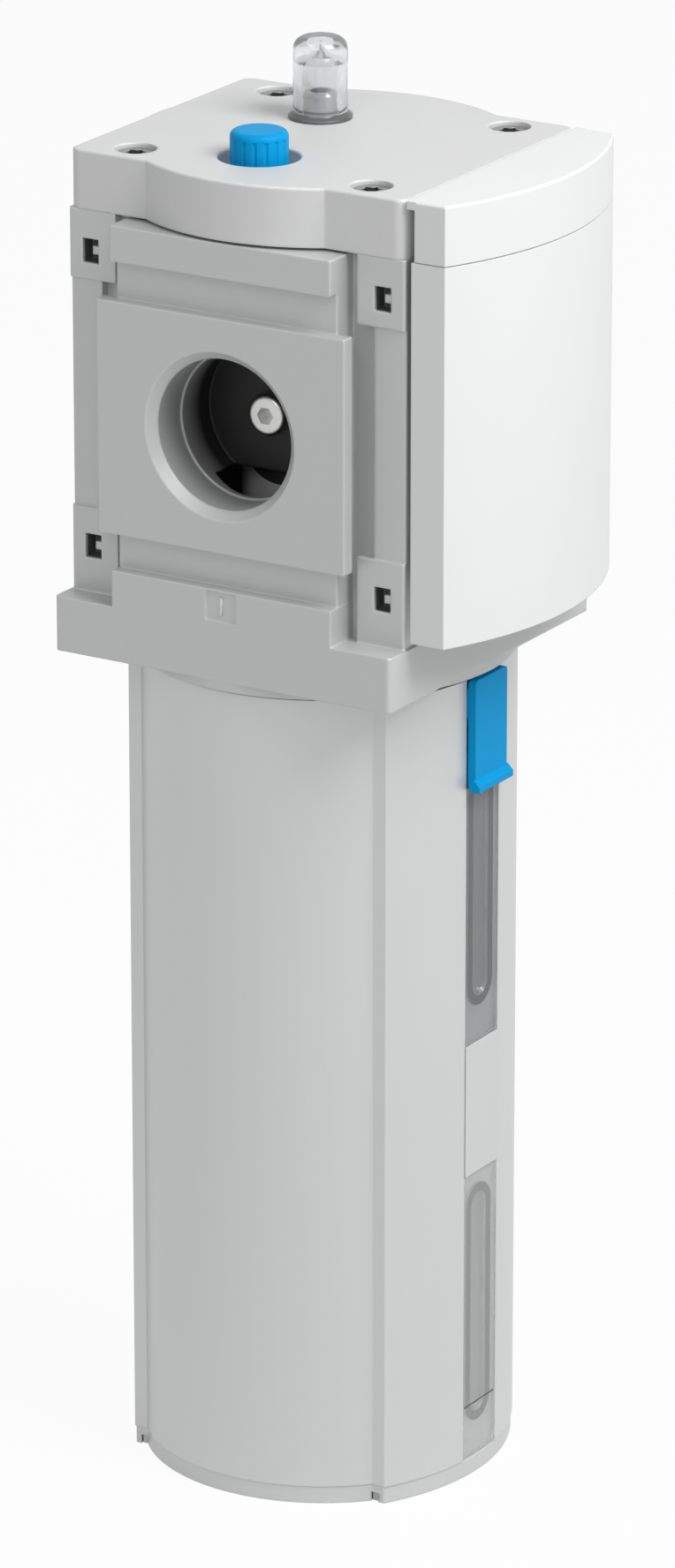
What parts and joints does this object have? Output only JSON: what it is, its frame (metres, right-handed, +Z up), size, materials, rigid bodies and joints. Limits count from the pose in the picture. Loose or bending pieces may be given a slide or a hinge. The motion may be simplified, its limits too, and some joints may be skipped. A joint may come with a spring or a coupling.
{
  "type": "compressed air filter",
  "caption": "Modular compressed air filter: square cast head with side ports, long bowl with sight windows, lock slide, push button and dome indicator.",
  "frame": {"origin": "on the bowl's axis at its base, at the mouth of the drain", "axes": "+Z up along the bowl, -X out of the inlet port, +X out of the outlet port, -Y the front with covers and windows"},
  "size_m": [0.124, 0.1505, 0.4679],
  "materials": {
    "cast_metal": "matte",
    "cover_metal": "matte",
    "bowl_metal": "satin",
    "white_plastic": "matte",
    "blue_plastic": "satin",
    "red_plastic": "satin",
    "clear_plastic": "clear",
    "seal_rubber": "matte",
    "steel": "satin",
    "spring_steel": "satin",
    "brass": "satin",
    "filter_white": "matte",
    "black_plastic": "matte"
  },
  "bodies": {
    "head": {"head_housing": "cast_metal", "top_cover": "cover_metal", "top_cover_seal": "seal_rubber", "top_cover_screws": "steel", "front_cover": "white_plastic", "front_cover_cap": "white_plastic", "passage_plug": "steel", "flow_deflector": "black_plastic", "element_stud": "steel", "element_seal": "seal_rubber", "element_top_cap": "black_plastic", "filter_media": "filter_white", "element_core": "steel", "element_bottom_cap": "black_plastic", "baffle_disc": "black_plastic", "element_nut": "brass", "indicator_base": "brass", "indicator_dome": "clear_plastic", "indicator_clip": "spring_steel", "indicator_spring": "spring_steel", "button_bush": "brass", "button_spring": "spring_steel"},
    "bowl": {"bowl_tube": "bowl_metal", "bayonet_ring": "cast_metal", "bowl_seal": "seal_rubber", "base_cap": "bowl_metal", "base_cap_seal": "seal_rubber", "base_cap_screws": "steel", "sight_glass_lower": "clear_plastic", "sight_glass_upper": "clear_plastic", "sight_gasket_lower": "seal_rubber", "sight_gasket_upper": "seal_rubber", "window_bar": "bowl_metal", "latch_stop": "steel", "latch_spring": "spring_steel", "drain_body": "brass", "drain_nut": "brass", "drain_seal": "seal_rubber"},
    "lock_slide": {"latch_slide": "blue_plastic"},
    "button": {"reset_button": "blue_plastic", "button_clip": "spring_steel"},
    "indicator": {"indicator_pin": "red_plastic"},
    "knob": {"drain_knob": "black_plastic"}
  },
  "joints": [
    {"name": "bowl_twist", "type": "hinge", "parent": "head", "child": "bowl", "pos_m": [0, 0, 0], "axis": [0, 0, 1], "range_deg": [0, 45]},
    {"name": "lock_slide_pull", "type": "slide", "parent": "bowl", "child": "lock_slide", "axis": [0, 0, -1], "range_m": [0, 0.005], "stiffness_N_per_m": 400, "springref_m": -0.002, "deforming": ["latch_spring"]},
    {"name": "button_press", "type": "slide", "parent": "head", "child": "button", "axis": [0, 0, -1], "range_m": [0, 0.003], "stiffness_N_per_m": 1000, "springref_m": -0.002, "deforming": ["button_spring"]},
    {"name": "indicator_rise", "type": "slide", "parent": "head", "child": "indicator", "axis": [0, 0, 1], "range_m": [0, 0.008], "stiffness_N_per_m": 150, "springref_m": -0.004, "deforming": ["indicator_spring"]},
    {"name": "drain_turn", "type": "hinge", "parent": "bowl", "child": "knob", "pos_m": [0, 0, 0], "axis": [0, 0, 1], "range_deg": [0, 180]}
  ]
}
